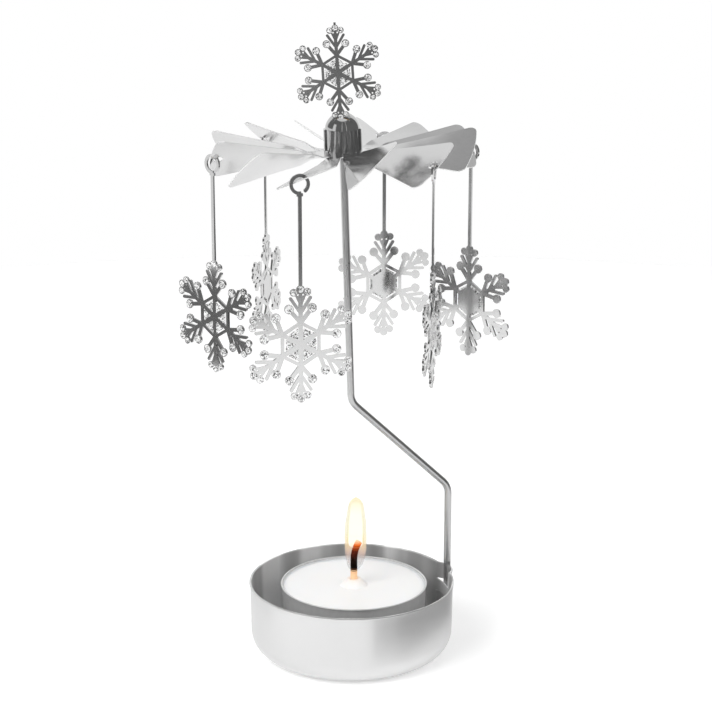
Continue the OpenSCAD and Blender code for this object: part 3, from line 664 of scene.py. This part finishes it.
def bed(verts, faces, corners, x, y):
    """Flat cushion of varnish 0.1 mm high, over a closed row of corners round x, y."""
    first, count = len(verts), len(corners)
    for share, lift in CUSHION:
        verts.extend((x + u * share, y + v * share, SHEET / 2 + lift * MM) for u, v in corners)
    verts.extend(((x, y, SHEET / 2 + 0.1 * MM), (x, y, SHEET / 2 - 0.02 * MM)))
    peak, base = first + 3 * count, first + 3 * count + 1
    for k in range(count):
        a, b = first + k, first + (k + 1) % count
        faces.append((a, b, b + count, a + count))
        faces.append((a + count, b + count, b + 2 * count, a + 2 * count))
        faces.extend(((a + 2 * count, b + 2 * count, peak), (b, a, base)))


def glitter(name, radius, seed, place, body):
    chance = random.Random(seed)
    verts, faces = [], []
    for branch in range(6):
        a = math.radians(60 * branch + 90)
        along, side = Vector((math.cos(a), math.sin(a))), Vector((-math.sin(a), math.cos(a)))
        for out, off, share in disc_places:
            middle = (along * out + side * off) * radius
            r = share * radius
            rim = [(VARNISHED * r * x, VARNISHED * r * y) for x, y in circle(18)]
            bed(verts, faces, rim, middle.x, middle.y)
            for k in range(int(DISC_CHIPS * (r / FULL_DISC) ** 2)):
                d, turn = r * math.sqrt(chance.random()) * CHIPS_UP_TO, chance.uniform(0, 2 * math.pi)
                chip(verts, faces, chance, middle.x + d * math.cos(turn), middle.y + d * math.sin(turn))
        # Triangle of the middle plate between this branch and the next, kept clear of their bars
        following = Vector((math.cos(a + math.pi / 3), math.sin(a + math.pi / 3)))
        start = (along + following) * radius * PLATE_START
        corners = [start + edge * radius * PLATE_SIDE for edge in (Vector((0, 0)), along, following)]
        centre = sum(corners, Vector((0, 0))) / 3
        bed(verts, faces, [tuple(corner - centre) for corner in corners], centre.x, centre.y)
        for k in range(PLATE_CHIPS):
            u, v = chance.random(), chance.random()
            if u + v > 1:
                u, v = 1 - u, 1 - v
            spot = start + (along * u + following * v) * radius * PLATE_SIDE
            chip(verts, faces, chance, spot.x, spot.y)
    piece = new_piece(name, verts, faces, glitter_foil)
    piece.data.transform(place)
    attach(piece, body)


# The hanging ones: their radius, the drop from the hook to their middle, and the azimuth in degrees to
# which each one's front looks
HANGING, DROP = 14.6 * MM, 38.6 * MM
for i, looks_to in enumerate((228, 289, 348, 48, 108, 166), 1):
    face = math.radians(looks_to)
    hook = Vector(joint_at["snowflake_%d_swing" % i]["pos_m"])
    out = Vector((math.cos(face), math.sin(face), 0))
    across = Vector((-math.sin(face), math.cos(face), 0))
    turned = Matrix((across, Vector((0, 0, 1)), out)).transposed().to_4x4()
    place = Matrix.Translation(hook - Vector((0, 0, DROP))) @ turned
    glitter("snowflake_%d_glitter" % i, HANGING, 39 + i, place, "snowflake_%d" % i)

# The one on top stands 2.6 mm in front of the spin axis, with its foot 8.6 mm over the rotor's sheet and
# its middle 11.69 mm higher, leans by 2.1 degrees and looks towards azimuth 264
finial = on_rotor @ Matrix.Rotation(math.radians(-6), 4, "Z") @ Matrix.Translation((0, -2.6 * MM, 8.6 * MM))
finial = finial @ Matrix.Rotation(math.radians(-2.1), 4, "Y") @ Matrix.Translation((0, 0, 11.69 * MM))
facing_front = Matrix(((1, 0, 0), (0, 0, -1), (0, 1, 0))).to_4x4()
glitter("finial_snowflake_glitter", 11.77 * MM, 50, finial @ facing_front, "rotor")

# Table and studio
# A round white table top stands in a room that is white behind and dark grey in front and below, as a studio
# is. Soft lamps light it. The room's dark parts are cards that only reflections see.


def seen_by(tree, *rays):
    """1 for the kinds of ray that are named, otherwise 0."""
    ray = add(tree, "ShaderNodeLightPath")
    seen = ray.outputs[rays[0]]
    for name in rays[1:]:
        seen = add(tree, "ShaderNodeMath", {0: seen, 1: ray.outputs[name]}, operation="MAXIMUM").outputs[0]
    return seen


# Matt white board, specked every 5 mm. What the eye and the mirrors see of it is lifted to a clean white
TABLE_RADIUS, TABLE_LIFT = 0.5, 0.28
table_board, tree = new_material("table_top_matt_white")
place = add(tree, "ShaderNodeTexCoord").outputs["Object"]
speck = add(tree, "ShaderNodeTexNoise", {"Vector": place, "Scale": 200.0, "Detail": 2.0}).outputs[0]
tone = add(tree, "ShaderNodeMix", {0: speck, 6: linear("#f2f2f2"), 7: linear("#f6f6f6")}, data_type="RGBA")
skin = add(tree, "ShaderNodeBsdfDiffuse", {"Color": tone.outputs[2]})
seen = seen_by(tree, "Is Camera Ray", "Is Glossy Ray", "Is Transmission Ray")
lift = add(tree, "ShaderNodeMath", {0: seen, 1: TABLE_LIFT}, operation="MULTIPLY").outputs[0]
shine = add(tree, "ShaderNodeEmission", {"Color": linear("#ffffff"), "Strength": lift})
both = add(tree, "ShaderNodeAddShader", {0: skin.outputs[0], 1: shine.outputs[0]})
add(tree, "ShaderNodeOutputMaterial", {0: both.outputs[0]})
rim = [(TABLE_RADIUS * x, TABLE_RADIUS * y, 0.0) for x, y in circle(96)]
new_piece("table", rim, [tuple(range(96))], table_board)


def card_cloth(name, low, high):
    """Even cloth with a nap of 170 mm, which shows in the metal as a plain dark or pale field."""
    cloth, tree = new_material(name)
    place = add(tree, "ShaderNodeTexCoord").outputs["Object"]
    nap = add(tree, "ShaderNodeTexNoise", {"Vector": place, "Scale": 6.0}).outputs[0]
    tone = add(tree, "ShaderNodeMix", {0: nap, 6: linear(low), 7: linear(high)}, data_type="RGBA")
    glow = add(tree, "ShaderNodeEmission", {"Color": tone.outputs[2], "Strength": 1.0})
    add(tree, "ShaderNodeOutputMaterial", {0: glow.outputs[0]})
    return cloth


grey_cloth = card_cloth("room_dark_grey_cloth", "#747474", "#7e7e7e")
pale_cloth = card_cloth("screen_pale_grey_cloth", "#a6a6a6", "#b2b2b2")
light_cloth = card_cloth("screen_light_grey_cloth", "#cccccc", "#d6d6d6")
black_cloth = card_cloth("screen_black_cloth", "#3c3c3c", "#484848")


def card(name, cloth, corners):
    piece = new_piece(name, corners, [tuple(range(len(corners)))], cloth)
    piece.visible_camera = False
    piece.visible_diffuse = False
    piece.visible_shadow = False
    piece.visible_transmission = False


def level_card(name, cloth, x, y, z):
    """Card that lies or hangs level at z, from x[0] to x[1] and from y[0] to y[1]."""
    card(name, cloth, [(x[0], y[0], z), (x[1], y[0], z), (x[1], y[1], z), (x[0], y[1], z)])


def side_card(name, cloth, x, y, z):
    """Card that stands at x and looks along it, from y[0] to y[1] and from z[0] to z[1]."""
    card(name, cloth, [(x, y[0], z[0]), (x, y[1], z[0]), (x, y[1], z[1]), (x, y[0], z[1])])


def wall(name, cloth, start, stop, reach, low, high):
    """Six cards that stand round the object, from one azimuth in degrees to another."""
    for k in range(6):
        a, b = (math.radians(start + (stop - start) * (k + j) / 6) for j in (0, 1))
        ends = [(reach * math.cos(t), reach * math.sin(t)) for t in (a, b)]
        corners = [(*ends[0], low), (*ends[1], low), (*ends[1], high), (*ends[0], high)]
        card("%s_%d" % (name, k + 1), cloth, corners)


# The floor under the table is dark, and so is the front of the table top
ROOM_FLOOR, ON_TABLE = -0.06, 0.001
level_card("room_floor", grey_cloth, (-0.35, 3.0), (-3.0, 0.05), ROOM_FLOOR)
level_card("room_floor_left", grey_cloth, (-3.0, -0.35), (-0.5, -0.15), ROOM_FLOOR)
level_card("room_floor_far_left", grey_cloth, (-3.0, -0.44), (-3.0, -0.5), ROOM_FLOOR)
left_corners = ((-0.362, -0.077), (-0.587, -0.125), (-0.394, -0.453), (-0.243, -0.279))
card("table_left_shade", grey_cloth, [(x, y, ON_TABLE) for x, y in left_corners])
level_card("table_front_shade", grey_cloth, (-0.19, 3.0), (-3.0, -0.36), ON_TABLE)
# The front wall has two narrow slots, which give the hub its bright lines
WALL, WALL_TOP = 1.1, 2.2
wall("front_wall_left", grey_cloth, 224, 265.4, WALL, 0.0, WALL_TOP)
wall("front_wall_middle", grey_cloth, 267.8, 295.3, WALL, 0.0, WALL_TOP)
wall("front_wall_right", grey_cloth, 297.7, 398, WALL, 0.0, WALL_TOP)
wall("left_wall", grey_cloth, 150, 203, WALL, 0.24, WALL_TOP)
wall("left_wall_high", grey_cloth, 203, 224, WALL, 0.9, WALL_TOP)
# Low screens close to the cup shade its wall
wall("low_front_screen", light_cloth, 287, 306, 0.044, 0.0, 0.015)
wall("low_right_screen", pale_cloth, 306, 385, 0.044, 0.0, 0.015)
wall("low_left_screen", pale_cloth, 125, 190, 0.07, 0.0, 0.012)
# Screens at the sides and over the object shade single snowflakes, the wire and the blades
side_card("left_screen", grey_cloth, -0.12, (-0.034, 0.002), (0.056, 0.086))
side_card("right_screen", black_cloth, 0.22, (-0.14, 0.13), (0.0, 0.065))
level_card("top_screen_left", pale_cloth, (-0.12, 0.03), (0.02, 0.24), 0.6)
level_card("top_screen_right", light_cloth, (0.03, 0.3), (0.02, 0.4), 0.6)

# The room is white to the eye and to mirrors, and lights matt surfaces less
world = bpy.data.worlds.new("white_room")
bpy.context.scene.world = world
world.use_nodes = True
tree = world.node_tree
tree.nodes.clear()
seen = seen_by(tree, "Is Camera Ray", "Is Glossy Ray", "Is Transmission Ray")
level = add(tree, "ShaderNodeMapRange", {0: seen, "To Min": 0.6, "To Max": 1.0}).outputs[0]
sky = add(tree, "ShaderNodeBackground", {"Color": linear("#ffffff"), "Strength": level})
add(tree, "ShaderNodeOutputWorld", {0: sky.outputs[0]})


def soft_light(name, at, side, power):
    """Square softbox that looks at a point 60 mm over the table."""
    lamp = bpy.data.lights.new(name, "AREA")
    lamp.shape, lamp.size, lamp.size_y, lamp.energy = "RECTANGLE", side, side, power
    holder = bpy.data.objects.new(name, lamp)
    holder.location = at
    holder.rotation_euler = (Vector((0, 0, 0.06)) - Vector(at)).to_track_quat("-Z", "Y").to_euler()
    holder.visible_glossy = False
    bpy.context.scene.collection.objects.link(holder)


soft_light("key_softbox", (-0.55, -0.55, 0.75), 0.6, 5.6)
soft_light("fill_softbox", (0.7, -0.2, 0.6), 0.5, 1.6)

# Camera
# The eye is at 209 mm height, 477 mm in front of the cup's axis, and looks 15 degrees down. Its place, turn
# and lens were fitted to the rims, the wire and the rotor.
eye = bpy.data.cameras.new("camera")
eye.lens, eye.sensor_width = 97.65, 36.0
eye.clip_start, eye.clip_end = 0.05, 10.0
camera = bpy.data.objects.new("camera", eye)
camera.location = (0.00028, -0.4774, 0.2088)
camera.rotation_euler = (math.radians(90 - 15.07), 0.0, math.radians(-0.105))
bpy.context.scene.collection.objects.link(camera)
bpy.context.scene.camera = camera
bpy.context.scene.view_settings.view_transform = "Standard"
